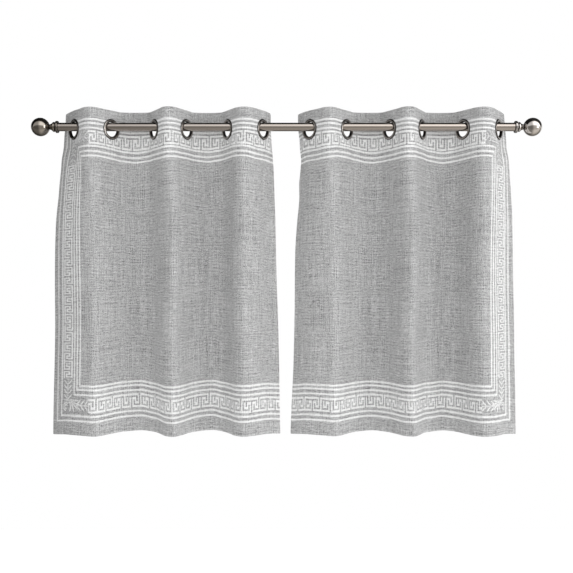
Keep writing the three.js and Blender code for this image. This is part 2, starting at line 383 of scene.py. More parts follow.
def flatCrest(start, startTurn, end, endTurn, length):
    # a crest whose eyelets stand wide apart: quick bends with a flat stretch between
    t = np.linspace(0, 1, 91)[:, None]

    def curve(reach):
        leave = start + heading(startTurn) * reach
        arrive = end - heading(endTurn) * reach
        return ((1 - t) ** 3 * start + 3 * (1 - t) ** 2 * t * leave
                + 3 * (1 - t) * t ** 2 * arrive + t ** 3 * end)

    return curve(solveFor(lambda reach: distances(curve(reach))[-1], length, 2, 120))


def roundCrest(start, startTurn, end, endTurn, length):
    # a crest of a given length that leaves and arrives along the two flats, and swells between
    share = (np.arange(90) + 0.5) / 90

    def curve(swell, lean):
        turns = startTurn + (endTurn - startTurn) * share
        turns = turns - swell * np.sin(2 * math.pi * share) + lean * (1 - np.cos(2 * math.pi * share))
        return start + np.vstack([[0, 0], np.cumsum(heading(turns), axis=0)]) * length / 90

    shape = np.array([0.0, 0.0])
    for _ in range(12):
        miss = curve(*shape)[-1] - end
        slopes = [(curve(*(shape + nudge))[-1] - end - miss) / 0.01 for nudge in ((0.01, 0), (0, 0.01))]
        shape = shape - np.linalg.solve(np.array(slopes).T, miss)
    return curve(*shape)


def edgeBend(start, firstTurn, lastTurn, length, steps=24):
    turns = firstTurn + (lastTurn - firstTurn) * (np.arange(steps) + 0.5) / steps
    return start + np.vstack([[0, 0], np.cumsum(heading(turns), axis=0)]) * length / steps


def headPlan():
    half = cloth["flatHalf"]
    flats = [(np.array([row["x"], 0.0]) - heading(row["turn"]) * half,
              np.array([row["x"], 0.0]) + heading(row["turn"]) * half, row["turn"]) for row in eyeletRows]
    edgeLength = edgeMargin - half
    parts = [edgeBend(flats[0][0], flats[0][2] + 180, edgeTurns["left"] + 180, edgeLength)[::-1]]
    for index, (start, end, turn) in enumerate(flats):
        parts.append(np.linspace(start, end, 60))
        if index + 1 < len(flats):
            nextStart, _, nextTurn = flats[index + 1]
            length = cloth["eyeletPitch"] - 2 * half
            crest = roundCrest if np.linalg.norm(nextStart - end) < 0.85 * length else flatCrest
            parts.append(crest(end, turn, nextStart, nextTurn, length))
    parts.append(edgeBend(flats[-1][1], flats[-1][2], edgeTurns["right"], edgeLength))
    return np.vstack([part[1:] if i else part for i, part in enumerate(parts)])


def smoothThrough(stops, perSpan):
    # a centripetal curve through the stops
    first, last = 2 * stops[0] - stops[1], 2 * stops[-1] - stops[-2]
    padded = np.vstack([first, stops, last])
    points = [stops[:1]]
    for i in range(1, len(padded) - 2):
        p0, p1, p2, p3 = padded[i - 1:i + 3]
        d0, d1, d2 = (np.linalg.norm(b - a) ** 0.5 for a, b in ((p0, p1), (p1, p2), (p2, p3)))
        m1 = ((p1 - p0) / d0 - (p2 - p0) / (d0 + d1) + (p2 - p1) / d1) * d1
        m2 = ((p2 - p1) / d1 - (p3 - p1) / (d1 + d2) + (p3 - p2) / d2) * d1
        t = np.linspace(0, 1, perSpan + 1)[1:, None]
        points.append((2 * t ** 3 - 3 * t ** 2 + 1) * p1 + (t ** 3 - 2 * t ** 2 + t) * m1
                      + (3 * t ** 2 - 2 * t ** 3) * p2 + (t ** 3 - t ** 2) * m2)
    return np.vstack(points)


def hemPlan():
    def wave(depth):
        return smoothThrough(np.array([(x, depth * y) for x, y in hemFolds]), 16)

    return wave(solveFor(lambda depth: distances(wave(depth))[-1], cloth["width"], 0.5, 2))


def planReader(points):
    along = distances(points)
    along *= cloth["width"] / along[-1]
    return lambda u: np.stack([np.interp(u, along, points[:, 0]), np.interp(u, along, points[:, 1])], -1)


def easedRows(rows, column, at):
    # a smooth curve through a table that never overshoots its rows
    x = np.array([row[0] for row in rows], float)
    y = np.array([row[column] for row in rows], float)
    slope = np.diff(y) / np.diff(x)
    tangent = np.zeros(len(x))
    for i in range(1, len(x) - 1):
        if slope[i - 1] * slope[i] > 0:
            tangent[i] = 2 * slope[i - 1] * slope[i] / (slope[i - 1] + slope[i])
    tangent[-1] = slope[-1]
    i = np.clip(np.searchsorted(x, at, side="right") - 1, 0, len(x) - 2)
    h = x[i + 1] - x[i]
    t = (at - x[i]) / h
    return ((2 * t ** 3 - 3 * t ** 2 + 1) * y[i] + (t ** 3 - 2 * t ** 2 + t) * h * tangent[i]
            + (3 * t ** 2 - 2 * t ** 3) * y[i + 1] + (t ** 3 - t ** 2) * h * tangent[i + 1])


def smoothStep(value, low, high):
    t = np.clip((value - low) / (high - low), 0, 1)
    return t * t * (3 - 2 * t)


def softNoise(u, v, cellU, cellV, seed):
    # rounded bumps on a lattice of random heights
    heights = np.random.default_rng(seed).uniform(-1, 1, (90, 90))
    a, b = u / cellU + 20.37, v / cellV + 11.71
    i, j = np.floor(a).astype(int) % 88, np.floor(b).astype(int) % 88
    s, t = a - np.floor(a), b - np.floor(b)
    s, t = s * s * s * (s * (s * 6 - 15) + 10), t * t * t * (t * (t * 6 - 15) + 10)
    top = heights[j, i] * (1 - s) + heights[j, i + 1] * s
    low = heights[j + 1, i] * (1 - s) + heights[j + 1, i + 1] * s
    return top * (1 - t) + low * t


headAt = planReader(headPlan())
hemAt = planReader(hemPlan())

relief = {
    # size along and down the cloth and height, all in millimetres
    "layers": [(62, 300, 2.0), (26, 120, 0.5), (11, 38, 0.08)], "seed": {"left": 10, "right": 40},
    # the cloth lies calm from the edge of a metal ring to a little way off
    "calm": (31, 58), "pucker": 0.45, "puckerSpokes": 8, "puckerRise": 6, "puckerReach": 22,
    "headStiffness": 0.3, "stiffRows": (70, 190), "hemStep": 0.25, "hemStepRun": 4,
}


def panelCentre(side):
    return -cloth["centreX"] if side == "left" else cloth["centreX"]


def clearOfEyelets(u, v):
    # 0 under the metal rings, rising to 1 a little way off
    clear = np.ones_like(u)
    for along in eyeletAlong:
        clear = clear * smoothStep(np.hypot(u - along, v - cloth["eyeletDown"]), *relief["calm"])
    return clear


def basePlace(side, u, v):
    opened = easedRows(openingRows, 1, v)[..., None]
    place = headAt(u) * (1 - opened) + hemAt(u) * opened
    opened = opened[..., 0]
    loose = opened * (1 - opened / 2)
    phase = 2 * math.pi * (v + sway["slant"] * u) / sway["wavelength"]
    fromInner = cloth["width"] - u if side == "left" else u
    hold = 1 - smoothStep(fromInner, 0, tuckReach)
    tuck = easedRows(tuckRows, 1 if side == "left" else 2, v) * hold * (-1 if side == "left" else 1)
    reach = driftReach[0] + (driftReach[1] - driftReach[0]) * smoothStep(v, *driftRows)
    columns = (1, 2) if side == "left" else (3, 4)
    leftDrift, rightDrift = (easedRows(edgeDrift, column, v) for column in columns)
    nearLeft, nearRight = 1 - smoothStep(u, 0, reach), 1 - smoothStep(cloth["width"] - u, 0, reach)
    drift = rightDrift * nearRight - leftDrift * nearLeft
    x = place[..., 0] + loose * sway["across"] * np.sin(phase) + tuck + drift
    y = place[..., 1] + loose * sway["depth"] * np.cos(phase)
    fromEdge = np.minimum(u, cloth["width"] - u)
    droop = cloth["cornerDroop"] * smoothStep(edgeMargin - fromEdge, 0, edgeMargin)
    hang = smoothStep(v, *liftRows["hang"])
    kept = smoothStep(v, *liftRows["hem"]) - hemRelease * hang
    lift = easedRows(hemLift[side], 1, u) * kept - hemHang * hang
    sag = smoothStep(v, *liftRows["headOn"]) * (1 - smoothStep(v, *liftRows["headOff"]))
    lift = lift + easedRows(headLift[side], 1, u) * sag * clearOfEyelets(u, v)
    return np.stack([x, y, cloth["headAboveRod"] - v - droop + lift], -1)


def reliefAt(side, u, v):
    calm = clearOfEyelets(u, v)
    pucker = np.zeros_like(u)
    for along in eyeletAlong:
        across, down = u - along, v - cloth["eyeletDown"]
        reach = np.hypot(across, down)
        spokes = np.cos(relief["puckerSpokes"] * np.arctan2(down, across) + along)
        past = np.maximum(reach - relief["calm"][0], 0)
        rise = smoothStep(past, 0, relief["puckerRise"])
        pucker += relief["pucker"] * spokes * np.exp(-past / relief["puckerReach"]) * rise
    stiff = relief["headStiffness"] + (1 - relief["headStiffness"]) * smoothStep(v, *relief["stiffRows"])
    height = np.zeros_like(u)
    for index, (cellU, cellV, tall) in enumerate(relief["layers"]):
        height += tall * softNoise(u, v, cellU, cellV, relief["seed"][side] + index)
    hemTop = cloth["drop"] - cloth["hemDepth"]
    lower = relief["hemStep"] * smoothStep(v, hemTop - relief["hemStepRun"], hemTop)
    return height * calm * stiff + pucker + lower


def slopeAlong(place, side, u, v):
    return place(side, np.minimum(u + probe, cloth["width"]), v) - place(side, np.maximum(u - probe, 0), v)


def clothPlace(side, u, v):
    run = slopeAlong(basePlace, side, u, v)
    run /= np.linalg.norm(run[..., :2], axis=-1, keepdims=True)
    toFront = np.stack([run[..., 1], -run[..., 0], np.zeros_like(u)], -1)
    return basePlace(side, u, v) + toFront * reliefAt(side, u, v)[..., None]


def clothNormals(side, u, v):
    down = (clothPlace(side, u, np.minimum(v + probe, cloth["drop"]))
            - clothPlace(side, u, np.maximum(v - probe, 0)))
    normal = np.cross(down, slopeAlong(clothPlace, side, u, v))
    normal /= np.linalg.norm(normal, axis=-1, keepdims=True)
    return normal


def thicknessAt(u, v):
    fromSide = np.minimum(u, cloth["width"] - u)
    step = cloth["turnStep"]
    side = 1 - smoothStep(fromSide, cloth["sideHemWidth"], cloth["sideHemWidth"] + step)
    head = 1 - smoothStep(v, cloth["headBand"], cloth["headBand"] + step)
    hem = smoothStep(v, cloth["drop"] - cloth["hemDepth"] - step, cloth["drop"] - cloth["hemDepth"])
    layers = [cloth["field"] + (cloth[name] - cloth["field"]) * share
              for name, share in (("sideHem", side), ("head", head), ("hem", hem))]
    return np.maximum.reduce(layers)


def onCloth(side, u, v, proud):
    # a point on the front skin (proud > 0) or the back skin (proud < 0), in metres
    middle, normal = clothPlace(side, u, v), clothNormals(side, u, v)
    thick = thicknessAt(u, v)
    offset = cloth["frontSkin"] + proud if proud > 0 else cloth["frontSkin"] - thick + proud
    centre = np.array([panelCentre(side), 0, 0])
    return (middle + centre + normal * np.asarray(offset)[..., None]) * mm


def spaced(total, count, marks):
    # even steps with exact stops at the marks
    marks = np.array([*marks, *(total - m for m in marks)], float)
    even = np.linspace(0, total, count)
    gap = np.abs(even[:, None] - marks[None, :]).min(1)
    return np.unique(np.concatenate([[0, total], even[gap > 0.45 * total / count], marks]))


def makePanel(side):
    width, drop, step = cloth["width"], cloth["drop"], cloth["turnStep"]
    sideTurn, headTurn, hemTurn = cloth["sideHemWidth"], cloth["headBand"], cloth["hemDepth"]
    columns = spaced(width, cloth["columns"], [*cloth["edgeStops"], sideTurn, sideTurn + step])
    rows = spaced(drop, cloth["rows"], [*cloth["edgeStops"], hemTurn, hemTurn + step])
    rows = rows[(rows <= cloth["edgeStops"][-1]) | (rows > hemTurn + step + 1)]
    rows = np.unique(np.concatenate([rows, np.linspace(*cloth["headRows"]), [headTurn, headTurn + step]]))
    u, v = np.meshgrid(columns, rows)
    down, across = u.shape
    index = np.arange(down * across).reshape(down, across)
    quads = np.stack([index[1:, :-1], index[1:, 1:], index[:-1, 1:], index[:-1, :-1]], -1).reshape(-1, 4)
    u, v = u.ravel(), v.ravel()
    cut = np.zeros(len(quads), bool)
    middleU, middleV = u[quads].mean(1), v[quads].mean(1)
    for along in eyeletAlong:
        cut |= np.hypot(middleU - along, middleV - cloth["eyeletDown"]) < cloth["holeRadius"] + 1
    rim = np.intersect1d(quads[cut], quads[~cut])
    for along in eyeletAlong:
        a, b = u[rim] - along, v[rim] - cloth["eyeletDown"]
        reach = np.hypot(a, b)
        near = reach < 2 * cloth["holeRadius"]
        u[rim[near]] = along + (a / reach * cloth["holeRadius"])[near]
        v[rim[near]] = cloth["eyeletDown"] + (b / reach * cloth["holeRadius"])[near]
    quads = quads[~cut]
    used, quads = np.unique(quads, return_inverse=True)
    quads = quads.reshape(-1, 4)
    u, v = u[used], v[used]
    middle, normal, thick = clothPlace(side, u, v), clothNormals(side, u, v), thicknessAt(u, v)
    fromRim = np.minimum.reduce([u, width - u, v, drop - v])
    share = np.clip(1 - fromRim / cloth["edgeRound"], 0, 1)
    body = np.sqrt(np.maximum(1 - share ** 2, cloth["edgeLeast"]))  # rounds the turned edges
    core = cloth["frontSkin"] - thick / 2
    centre = np.array([panelCentre(side), 0, 0])
    front = middle + centre + normal * (core + body * thick / 2)[:, None]
    back = middle + centre + normal * (core - body * thick / 2)[:, None]
    count = len(u)
    edges = np.concatenate([quads[:, [i, (i + 1) % 4]] for i in range(4)])
    key = np.sort(edges, 1)
    _, first, times = np.unique(key, axis=0, return_index=True, return_counts=True)
    border = edges[first[times == 1]]
    rimQuads = np.stack([border[:, 1], border[:, 0], border[:, 0] + count, border[:, 1] + count], -1)
    faces = np.concatenate([quads, quads[:, ::-1] + count, rimQuads])
    piece = linkMesh(f"panel_cloth_{side}", (np.concatenate([front, back]) * mm).tolist(), faces.tolist())
    mesh = piece.data
    flat = np.stack([np.tile(u, 2), np.tile(v, 2)], -1) * mm
    corner = np.zeros(len(mesh.loops), int)
    mesh.loops.foreach_get("vertex_index", corner)
    layer = mesh.uv_layers.new(name="flatCloth")
    layer.data.foreach_set("uv", flat[corner].astype(np.float32).ravel())
    wrongSide = mesh.attributes.new("wrongSide", "FLOAT", "POINT")
    wrongSide.data.foreach_set("value", np.repeat([0.0, 1.0], count).astype(np.float32))
    shadeSmooth(mesh, 60)
    return piece


panels = {side: makePanel(side) for side in sides}
print("cloth made:", [len(piece.data.polygons) for piece in panels.values()], "faces")


# the print

borders = {
    # how far each stripe's middle lies from the panel's top, outer side and hem,
    # and how much narrower the stripe is at the side
    "stripes": [(33.7, 19, 37.6, 1.0), (45.3, 36, 51.7, 1.0), (110.2, 83.5, 111.3, 1.35),
                (124.6, 93.2, 125.5, 1.35), (137.4, 102.5, 136.3, 1.35)],
    "stripeHalf": 2.75, "topExtra": 58.1, "soft": 0.45,
    "topKey": (65.9, 104.6), "bottomKey": (101.8, 61.8), "sideKey": (77, 42),
    "column": 8.0, "sideColumn": 7.32, "cornerAlong": 130, "cornerDown": 157,
    "phase": {"left": 130, "right": 26}, "sideLine": {"left": 0.27, "right": 0.32}, "motif": (0.9, 0.6),
}
meander = {
    # the grey line of the key, in columns and rows, over one repeat
    "repeat": 18, "rows": 5, "lineHalf": 0.28, "soft": 0.04,
    "bars": [
        (0, 1, 0, 6), (0, 1, 2, 1), (2, 1, 2, 2.6),
        (1, 2.5, 1, 4), (1, 4, 3, 4), (3, -1, 3, 4),
        (4, 1, 4, 4), (4, 4, 6, 4), (6, 2.5, 6, 4), (5, 1, 5, 2.6),
        (7, 1, 7, 6), (4, 1, 9, 1), (9, 1, 9, 2.6),
        (8, 2.5, 8, 4), (8, 4, 10, 4), (10, -1, 10, 4),
        (11, 1, 11, 4), (11, 4, 13, 4), (13, 2.5, 13, 4), (12, 1, 12, 2.6),
        (14, 1, 14, 6), (11, 1, 15, 1),
        (15, 1, 15, 4), (15, 4, 17, 4), (17, 1, 17, 4),
        (16, 1, 16, 2.5), (16, 1, 19, 1), (18, 1, 18, 6),
    ],
}


def makeMeanderGroup():
    tree, wires, given = newGroup(
        "meanderLine", {"Along": "Float", "Across": "Float", "Half": "Float"},
        {"Line": "Float", "Band": "Float"})
    along, across, soft = given["Along"] % meander["repeat"], given["Across"], meander["soft"]
    near = []
    for x0, y0, x1, y1 in meander["bars"]:
        sideways = abs(along - (x0 + x1) / 2) - abs(x1 - x0) / 2
        updown = abs(across - (y0 + y1) / 2) - abs(y1 - y0) / 2
        near.append(wires.most(sideways, updown))
    line = wires.ranged(wires.least(*near) - given["Half"], -soft, soft, 1, 0)
    edge = meander["rows"] / 2
    band = wires.ranged(abs(across - edge), edge - soft, edge + soft, 1, 0)
    wires.node("NodeGroupOutput", {"Line": line, "Band": band})
    return tree


palmette = {
    # in millimetres from the outer corner of the key's band: a fan of petals, a scroll and two leaf sprays
    "corner": (42, 61.8), "soft": 0.35,
    "hub": (33, 29), "hubRadius": 3.6,
    "petalEvery": 30, "petalMiddle": 17, "petal": (12.5, 2.3), "fanTop": 6,
    "scroll": (12, 15), "scrollRings": (10.6, 5.2), "scrollHalf": 1.5,
    "scrollSlant": 0.4, "scrollOpen": (4.0, 4.8), "scrollClear": (13.4, 14.2),
    "spray": 13.5, "leaf": (9.6, 1.9), "leafLean": 42, "leafOut": 8.6, "leafStart": 0.72, "stemHalf": 1.2,
    "upright": (18, 34, 94), "level": (20, 47, 88), "levelFrom": (46, 47),
}


def makePalmetteGroup():
    tree, wires, given = newGroup("cornerPalmette", {"Side": "Float", "Down": "Float"}, {"Ink": "Float"})
    soft = palmette["soft"]

    def fade(value, edge, before=1, after=0):
        return wires.ranged(value, edge - soft, edge + soft, before, after)

    def measured(name, a, b):
        return a - palmette[name][0], b - palmette[name][1]

    def distance(a, b):
        return wires.sum("SQRT", wires.timesPlus(a, a, b * b))

    def blot(a, b, halfLength, halfWidth):
        size = distance(a / halfLength, b / halfWidth)
        return wires.ranged(size, 1 - soft / halfWidth, 1 + soft / halfWidth, 1, 0)

    # petals fan down and outwards from the hub
    p, q = measured("corner", given["Side"], given["Down"])
    a, b = measured("hub", p, q)
    reach = distance(a, b)
    every = math.radians(palmette["petalEvery"])
    turn = wires.sum("ARCTAN2", b, a) % every - every / 2
    petal = blot(reach * wires.sum("COSINE", turn) - palmette["petalMiddle"],
                 reach * wires.sum("SINE", turn), *palmette["petal"])
    fan = petal * fade(b, palmette["fanTop"])
    hub = fade(reach, palmette["hubRadius"])

    # the scroll clears the fan on its own side
    c, d = measured("scroll", p, q)
    curl = distance(c, d)
    curls = [fade(abs(curl - ring), palmette["scrollHalf"]) for ring in palmette["scrollRings"]]
    openSide = wires.ranged(c - d * palmette["scrollSlant"], *palmette["scrollOpen"], 1, 0)
    scroll = wires.most(*curls) * openSide
    fan = fan * wires.ranged(curl, *palmette["scrollClear"], 0, 1)

    # leaf sprays in mirrored pairs about a stem
    def spray(across, along, middle, start, end):
        out = abs(across - middle)
        pitch = palmette["spray"]
        step = (along - start) % pitch
        lean = math.radians(palmette["leafLean"])
        parts = [fade(out, palmette["stemHalf"])]
        for shift in (0, pitch):
            x = out - palmette["leafOut"]
            y = step - (pitch * palmette["leafStart"] - shift)
            ahead = wires.timesPlus(x, math.cos(lean), y * math.sin(lean))
            aside = wires.timesPlus(x, -math.sin(lean), y * math.cos(lean))
            parts.append(blot(ahead, aside, *palmette["leaf"]))
        return wires.most(*parts) * (fade(along, start, 0, 1) * fade(along, end))

    upright = spray(p, q, *palmette["upright"])
    level = spray(q, p, *palmette["level"]) * wires.ranged(p, *palmette["levelFrom"], 0, 1)
    wires.node("NodeGroupOutput", {"Ink": wires.most(hub, fan, scroll, upright, level)})
    return tree


def makeBorderGroup(key, corner):
    labels = ("Along", "Down", "Side", "Start", "SideLine")
    tree, wires, given = newGroup("printedBorder", {label: "Float" for label in labels}, {"Ink": "Float"})
    down, side = given["Down"], given["Side"]
    rise = cloth["drop"] - down
    nearest = wires.least(down, rise)
    half, soft = borders["stripeHalf"], borders["soft"]

    def stripe(value):
        return wires.ranged(abs(value), half - soft, half + soft, 1, 0)

    stripes = [stripe(wires.least(down - top, (side - outer) * narrower, rise - hem))
               for top, outer, hem, narrower in borders["stripes"]]
    bandStart = borders["sideKey"][1] + 1
    inward = wires.ranged(side, bandStart - soft, bandStart + soft, 0, 1)
    stripes.append(stripe(down - borders["topExtra"]) * inward)

    # one key serves all three bands: its place along and across is picked by where the point lies
    isSide = side < borders["stripes"][2][1] - half
    isTop = down < cloth["drop"] / 2

    def pick(share, yes, no):
        return wires.blend(share, no, yes, "FLOAT")

    def rowsAcross(value, band):
        return wires.ranged(value, *borders[band], 0, meander["rows"], clamp=False)

    acrossLevel = pick(isTop, rowsAcross(down, "topKey"), rowsAcross(rise, "bottomKey"))
    drawn = wires.group(
        key, Across=pick(isSide, rowsAcross(side, "sideKey"), acrossLevel),
        Along=pick(isSide, (down - borders["cornerDown"]) / borders["sideColumn"],
                   (given["Along"] - given["Start"]) / borders["column"]),
        Half=pick(isSide, given["SideLine"], meander["lineHalf"]))
    allowed = wires.most((side > borders["cornerAlong"]) * (1.0 - isSide),
                         isSide * (nearest > borders["cornerDown"]))
    keyInk = drawn["Band"] * allowed * (1.0 - drawn["Line"])

    # the corner motif lies in the band, between the outer and the inner stripes
    inBand = (side > bandStart) * (nearest > borders["bottomKey"][1] + 1)
    elbow = wires.most((side < borders["sideKey"][0]) * (nearest < borders["cornerDown"]),
                       (nearest < borders["bottomKey"][0]) * (side < borders["cornerAlong"]))
    motif = wires.group(corner, Side=side, Down=nearest)["Ink"]
    motif = motif * (inBand * elbow) * wires.ranged(isTop, 0, 1, *borders["motif"])
    wires.node("NodeGroupOutput", {"Ink": wires.most(*stripes, keyInk, motif)})
    return tree


weave = {
    "layers": {
        # size across and down the cloth in millimetres, and strength
        "weft": (15, 1.6, 0.16), "longWeft": (110, 2.0, 0.14),
        "warp": (1.6, 16, 0.12), "longWarp": (2.2, 120, 0.12),
        "knot": (2.8, 1.5, 0.24), "slub": (1.6, 3.0, 0.22), "streak": (10, 240, 0.02),
    },
    # each layer starts a little further along, and only the middle of the noise counts
    "shift": (3.7, 1.9), "range": (0.40, 0.60),
    "raised": {"weft": 0.5, "longWeft": 0.3, "warp": 0.4, "longWarp": 0.3},
    "ribs": [
        # axis, pitch, how far it wanders, strength, size of the patches, where they start
        ("Y", 8.5, 14.0, 0.14, (26, 30), (5.1, 2.3, 0)),
        ("X", 6.1, 9.0, 0.1, (30, 26), (8.3, 6.1, 0)),
    ],
    "ribRange": (0.36, 0.64), "drift": (45, 70), "thread": 0.85, "crossing": 0.04, "crossingHeight": 0.4,
}


def makeWeaveGroup():
    tree, wires, given = newGroup(
        "linenWeave", {"Flat": "Vector"}, {"Tone": "Float", "Height": "Float", "Slub": "Float"})
    flat = given["Flat"]
    parts = wires.parted(flat)

    def patches(across, down, offset=(0, 0, 0)):
        return wires.noise(wires.stretch(flat, (1 / across, 1 / down, 1), offset), 1.0)

    tone, layers = 1.0, {}
    for index, (name, (across, down, strength)) in enumerate(weave["layers"].items()):
        offset = (weave["shift"][0] * index, weave["shift"][1] * index, 0)
        layers[name] = wires.ranged(patches(across, down, offset), *weave["range"], -1, 1)
        tone = wires.timesPlus(layers[name], strength, tone)

    # faint ribs of thicker thread, broken up so that they come and go
    drift = patches(*weave["drift"])
    for axis, pitch, wander, strength, size, offset in weave["ribs"]:
        turn = wires.timesPlus(parts[axis], 2 * math.pi / pitch, drift * wander)
        rib = wires.sum("SINE", turn) * wires.ranged(patches(*size, offset), *weave["ribRange"], 0, 1)
        tone = wires.timesPlus(rib, strength, tone)

    turn = 2 * math.pi / weave["thread"]
    crossing = wires.sum("SINE", parts["X"] * turn) * wires.sum("SINE", parts["Y"] * turn)
    height = crossing * weave["crossingHeight"]
    for name, strength in weave["raised"].items():
        height = wires.timesPlus(layers[name], strength, height)
    wires.node("NodeGroupOutput", {
        "Tone": wires.timesPlus(crossing, weave["crossing"], tone), "Height": height,
        "Slub": wires.timesPlus(layers["weft"], 0.5, layers["warp"] * 0.5)})
    return tree


fabric = {
    "grey": (0.404, 0.404, 0.4045), "white": (0.79, 0.79, 0.787), "ghost": 0.16, "bleed": 1.1,
    "surface": {"Roughness": 0.92, "Sheen Weight": 0.12, "Sheen Roughness": 0.5, "Specular IOR Level": 0.2},
    "bump": 0.6, "bumpHeight": 0.22, "thinInk": 0.9, "inkedTone": 0.3,
    # painted shade: the cloth is a little darker towards the left panel's outer side
    "paintedSideShade": {"left": 0.8, "right": 1.0}, "paintedSideShadeReach": (50, 160),
}


def makeClothMaterial(side, weaveTree, borderTree):
    material, wires, shader = newMaterial(f"printedCloth_{side}", fabric["surface"])
    flat = wires.made("ShaderNodeUVMap", uv_map="flatCloth")
    inMillimetres = wires.stretch(flat, (1000, 1000, 1))
    woven = wires.group(weaveTree, Flat=inMillimetres)
    place = wires.parted(inMillimetres)
    wobble = wires.noise(wires.stretch(inMillimetres, (0.5, 0.5, 1)), 2.0) - 0.5
    along = wires.timesPlus(wobble, fabric["bleed"], place["X"])
    down = wires.timesPlus(wobble, -fabric["bleed"], place["Y"])
    outer = along if side == "left" else cloth["width"] - along
    ink = wires.group(borderTree, Along=along, Down=down, Side=outer, Start=borders["phase"][side],
                      SideLine=borders["sideLine"][side])["Ink"]
    cover = wires.ranged(woven["Slub"], -1, 1, fabric["thinInk"], 1.0)
    shown = wires.ranged(wires.attribute("wrongSide"), 0.4, 0.6, 1, fabric["ghost"])
    inkShare = ink * cover * shown
    colour = wires.blend(inkShare, (*fabric["grey"], 1), (*fabric["white"], 1))
    tone = wires.sum("POWER", woven["Tone"], wires.ranged(inkShare, 0, 1, 1.0, fabric["inkedTone"]))
    # painted shade: the left panel's outer side is darkened, over a given reach from its edge
    tone = tone * wires.ranged(outer, *fabric["paintedSideShadeReach"], fabric["paintedSideShade"][side], 1)
    # the print and weave colour, scaled by the weave's tone and the painted side shade
    colourWithPaintedShade = wires.made("ShaderNodeVectorMath", {0: colour, "Scale": tone}, operation="SCALE")
    wires.fill(shader, {
        "Base Color": colourWithPaintedShade,
        "Normal": wires.bump(woven["Height"], fabric["bump"], fabric["bumpHeight"] * mm)})
    return material


weaveTree = makeWeaveGroup()
borderTree = makeBorderGroup(makeMeanderGroup(), makePalmetteGroup())
for side in sides:
    panels[side].data.materials.append(makeClothMaterial(side, weaveTree, borderTree))
print("cloth printed")


# metal finishes

nickel = {
    # colour at the left-hand and at the right-hand end: painted shade makes the ball on the left darker,
    # and painted light makes the rings lighter on the right
    "rod": {"colour": ((0.50, 0.455, 0.425), (0.50, 0.455, 0.425)),
            "roughness": 0.17, "grain": (6, 500, 500)},
    "ball": {"colour": ((0.34, 0.31, 0.275), (0.70, 0.66, 0.63)),
             "roughness": 0.1, "grain": (90, 90, 90)},
    "ring": {"colour": ((0.43, 0.405, 0.385), (0.52, 0.495, 0.475)),
             "roughness": 0.14, "grain": (160, 160, 160)},
}
# near-black painted shade for hollows, bead flanks, barrels and neck facets
paintedRecessShade = (0.05, 0.046, 0.044)
ageingAndPaintedLight = {
    "grainDetail": (3.0, 0.6), "tint": (0.80, 0.76, 0.70), "cloudRange": (0.35, 0.7), "share": 0.6,
    # reach: how far along X the painted left-to-right light blend runs; recessRoughness: extra roughness
    # where shade is painted
    "uneven": 0.18, "recessRoughness": 0.2, "bump": 0.1, "bumpHeight": 0.02, "reach": 0.7,
}


def makeNickelGroup():
    tree, wires, given = newGroup(
        "agedNickel", {"Place": "Vector", "Colour": "Color", "Roughness": "Float"},
        {"Colour": "Color", "Roughness": "Float", "Height": "Float"})
    grain = wires.noise(given["Place"], *ageingAndPaintedLight["grainDetail"])
    cloud = wires.noise(wires.stretch(given["Place"], (0.08, 0.08, 0.08)), 2.0)
    dark = wires.made("ShaderNodeVectorMath", (given["Colour"], ageingAndPaintedLight["tint"]), operation="MULTIPLY")
    share = wires.ranged(cloud, *ageingAndPaintedLight["cloudRange"], 0, ageingAndPaintedLight["share"])
    wires.node("NodeGroupOutput", {
        "Colour": wires.blend(share, given["Colour"], dark),
        "Roughness": wires.timesPlus(grain - 0.5, ageingAndPaintedLight["uneven"], given["Roughness"]), "Height": grain})
    return tree


def makeNickel(name, group):
    finish = nickel[name]
    material, wires, shader = newMaterial(f"{name}Nickel", {"Metallic": 1})
    place = wires.made("ShaderNodeTexCoord", output="Object")
    # painted light: the colour is blended along X from the darker left-hand colour to the lighter
    # right-hand one
    sideLightShare = wires.ranged(wires.parted(place)["X"], -ageingAndPaintedLight["reach"], ageingAndPaintedLight["reach"], 0, 1)
    colourWithPaintedShade = wires.blend(sideLightShare, *((*colour, 1) for colour in finish["colour"]))
    aged = wires.group(group, Place=wires.stretch(place, finish["grain"]), Colour=colourWithPaintedShade,
                       Roughness=finish["roughness"])
    # painted shade and highlight: where lightAndPolish is low the colour turns near-black and the metal is
    # rougher
    lightAndPolish = wires.attribute("lightAndPolish")
    wires.fill(shader, {
        "Base Color": wires.blend(lightAndPolish, (*paintedRecessShade, 1), aged["Colour"]),
        "Roughness": aged["Roughness"] + wires.ranged(lightAndPolish, 0, 1, ageingAndPaintedLight["recessRoughness"], 0),
        "Normal": wires.bump(aged["Height"], ageingAndPaintedLight["bump"], ageingAndPaintedLight["bumpHeight"] * mm)})
    return material


nickelGroup = makeNickelGroup()
metals = {name: makeNickel(name, nickelGroup) for name in nickel}


# turned metal pieces

